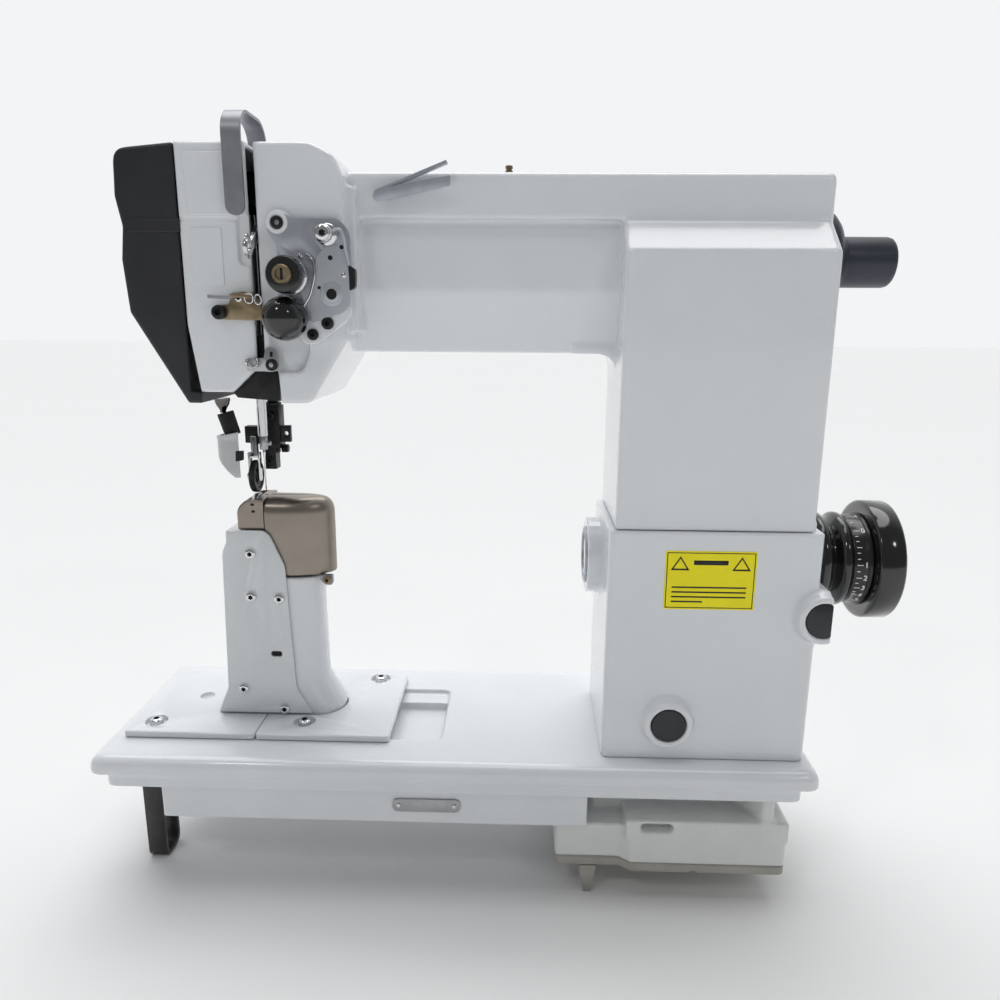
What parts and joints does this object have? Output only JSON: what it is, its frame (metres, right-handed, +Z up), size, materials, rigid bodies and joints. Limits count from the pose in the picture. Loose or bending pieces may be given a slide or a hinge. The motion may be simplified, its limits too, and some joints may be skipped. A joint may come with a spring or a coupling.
{
  "type": "post bed leather sewing machine",
  "caption": "Post-bed roller-feed sewing machine head for leather and footwear, on its bed, with handwheel, presser roller and rotary hook.",
  "frame": {"origin": "middle of the bounding box, on the surface the three feet stand on", "axes": "+X to the operator's right, from the needle to the handwheel; +Y away from the operator; +Z up"},
  "size_m": [0.5856, 0.168, 0.539],
  "materials": {
    "bed_casting": "gloss enamel",
    "slide_plate_left": "gloss enamel",
    "slide_plate_right": "gloss enamel",
    "plate_screw_1": "polished",
    "plate_screw_2": "polished",
    "plate_screw_3": "polished",
    "name_plate": "matt rolled",
    "gearbox_casting": "gloss enamel",
    "gearbox_cover": "bare casting",
    "rest_leg_front": "bare casting",
    "rest_leg_rear": "bare casting",
    "strap_foot": "black paint",
    "riser_casting": "gloss enamel",
    "front_plug": "satin moulded",
    "side_plug": "satin moulded",
    "shaft_end_cap": "satin moulded",
    "arm_casting": "gloss enamel",
    "arm_thread_guide": "ground",
    "oil_peg": "dull",
    "end_cover": "satin moulded",
    "face_cover": "gloss enamel",
    "end_cap": "satin moulded",
    "take_up_guard": "zinc plated",
    "take_up_lever": "polished",
    "bar_frame": "blackened",
    "needle_bar": "ground",
    "needle_clamp": "ground",
    "needle": "polished",
    "presser_bar": "blackened",
    "presser_bracket": "blackened",
    "roller_fork": "polished",
    "presser_roller": "ground",
    "finger_guard": "ground",
    "guard_sleeve": "matt",
    "guard_rod": "blackened",
    "tension_plate": "zinc plated",
    "tension_discs": "ground",
    "tension_nut": "gloss black",
    "check_spring": "ground",
    "dome_knob": "gloss black",
    "guide_stud": "polished",
    "thread_bracket": "dull",
    "lower_bracket": "ground",
    "post_casting": "gloss enamel",
    "post_cover": "gloss enamel",
    "needle_plate": "brushed nickel",
    "feed_wheel": "ground",
    "hook_cover": "brushed nickel",
    "hook": "ground",
    "bobbin_case": "polished",
    "bobbin": "turned",
    "hook_shaft": "ground",
    "bed_shaft": "ground",
    "main_shaft": "ground",
    "upper_shaft": "ground",
    "timing_belt": "matt",
    "bed_belt": "matt",
    "belt_pulley": "gloss black",
    "stitch_dial": "gloss black",
    "handwheel": "gloss black"
  },
  "bodies": {
    "machine": {"bed_casting": "bed_casting", "slide_plate_left": "slide_plate_left", "slide_plate_right": "slide_plate_right", "plate_screw_1": "plate_screw_1", "plate_screw_2": "plate_screw_2", "plate_screw_3": "plate_screw_3", "name_plate": "name_plate", "gearbox_casting": "gearbox_casting", "gearbox_cover": "gearbox_cover", "rest_leg_front": "rest_leg_front", "rest_leg_rear": "rest_leg_rear", "strap_foot": "strap_foot", "riser_casting": "riser_casting", "front_plug": "front_plug", "side_plug": "side_plug", "shaft_end_cap": "shaft_end_cap", "arm_casting": "arm_casting", "arm_thread_guide": "arm_thread_guide", "oil_peg": "oil_peg", "end_cover": "end_cover", "face_cover": "face_cover", "end_cap": "end_cap", "take_up_guard": "take_up_guard", "bar_frame": "bar_frame", "finger_guard": "finger_guard", "guard_sleeve": "guard_sleeve", "guard_rod": "guard_rod", "tension_plate": "tension_plate", "tension_discs": "tension_discs", "guide_stud": "guide_stud", "thread_bracket": "thread_bracket", "lower_bracket": "lower_bracket", "post_casting": "post_casting", "post_cover": "post_cover", "needle_plate": "needle_plate", "bobbin_case": "bobbin_case", "timing_belt": "timing_belt", "bed_belt": "bed_belt"},
    "drive": {"main_shaft": "main_shaft", "belt_pulley": "belt_pulley", "handwheel": "handwheel"},
    "dial": {"stitch_dial": "stitch_dial"},
    "arm_drive": {"upper_shaft": "upper_shaft"},
    "bed_drive": {"bed_shaft": "bed_shaft"},
    "hook_drive": {"hook_shaft": "hook_shaft", "hook": "hook"},
    "feed": {"feed_wheel": "feed_wheel"},
    "bobbin": {"bobbin": "bobbin"},
    "hook_cover": {"hook_cover": "hook_cover"},
    "needle_bar": {"needle_bar": "needle_bar", "needle_clamp": "needle_clamp", "needle": "needle"},
    "take_up": {"take_up_lever": "take_up_lever"},
    "presser": {"presser_bar": "presser_bar", "presser_bracket": "presser_bracket", "roller_fork": "roller_fork"},
    "roller": {"presser_roller": "presser_roller"},
    "tension_nut": {"tension_nut": "tension_nut"},
    "knob": {"dome_knob": "dome_knob"},
    "check_spring": {"check_spring": "check_spring"}
  },
  "joints": [
    {"name": "handwheel_turn", "type": "hinge", "parent": "machine", "child": "drive", "pos_m": [0.2072, -0.001, 0.244], "axis": [1, 0, 0], "continuous": true},
    {"name": "stitch_dial_turn", "type": "hinge", "parent": "drive", "child": "dial", "pos_m": [0.2612, -0.001, 0.244], "axis": [1, 0, 0], "range_deg": [0, 300]},
    {"name": "arm_shaft_turn", "type": "hinge", "parent": "machine", "child": "arm_drive", "pos_m": [0.0072, 0.004, 0.4545], "axis": [1, 0, 0], "continuous": true},
    {"name": "bed_shaft_turn", "type": "hinge", "parent": "machine", "child": "bed_drive", "pos_m": [0.0072, 0.004, 0.077], "axis": [1, 0, 0], "continuous": true},
    {"name": "hook_turn", "type": "hinge", "parent": "machine", "child": "hook_drive", "pos_m": [-0.1568, 0.004, 0.17], "axis": [0, 0, 1], "continuous": true},
    {"name": "feed_wheel_turn", "type": "hinge", "parent": "machine", "child": "feed", "pos_m": [-0.1843, 0.004, 0.2713], "axis": [1, 0, 0], "continuous": true},
    {"name": "bobbin_turn", "type": "hinge", "parent": "machine", "child": "bobbin", "pos_m": [-0.1568, 0.004, 0.27], "axis": [0, 0, 1], "continuous": true},
    {"name": "hook_cover_slide", "type": "slide", "parent": "machine", "child": "hook_cover", "axis": [1, 0, 0], "range_m": [0, 0.025]},
    {"name": "needle_bar_slide", "type": "slide", "parent": "machine", "child": "needle_bar", "axis": [0, 0, 1], "range_m": [0, 0.03]},
    {"name": "take_up_lever_swing", "type": "hinge", "parent": "machine", "child": "take_up", "pos_m": [-0.1558, -0.016, 0.485], "axis": [-1, 0, 0], "range_deg": [0, 70.5]},
    {"name": "presser_lift", "type": "slide", "parent": "machine", "child": "presser", "axis": [0, 0, 1], "range_m": [0, 0.008], "stiffness_N_per_m": 300, "springref_m": -0.01},
    {"name": "presser_roller_turn", "type": "hinge", "parent": "presser", "child": "roller", "pos_m": [-0.1843, 0.004, 0.2993], "axis": [1, 0, 0], "continuous": true},
    {"name": "tension_nut_turn", "type": "hinge", "parent": "machine", "child": "tension_nut", "pos_m": [-0.1315, -0.076, 0.4405], "axis": [0, 1, 0], "range_deg": [-360, 360]},
    {"name": "lower_knob_turn", "type": "hinge", "parent": "machine", "child": "knob", "pos_m": [-0.1353, -0.076, 0.4146], "axis": [0, 1, 0], "range_deg": [-180, 180]},
    {"name": "check_spring_swing", "type": "hinge", "parent": "machine", "child": "check_spring", "pos_m": [-0.1353, -0.0636, 0.4146], "axis": [0, 1, 0], "range_deg": [0, 20], "stiffness_Nm_per_rad": 0.02, "springref_deg": -14.32}
  ],
  "couplings": [
    {"joint": "arm_shaft_turn", "follows": "handwheel_turn", "ratio": 1},
    {"joint": "bed_shaft_turn", "follows": "handwheel_turn", "ratio": 1},
    {"joint": "hook_turn", "follows": "handwheel_turn", "ratio": -2},
    {"joint": "feed_wheel_turn", "follows": "handwheel_turn", "ratio": 0.042},
    {"joint": "take_up_lever_swing", "follows": "needle_bar_slide", "rad_per_m": 40.7}
  ]
}
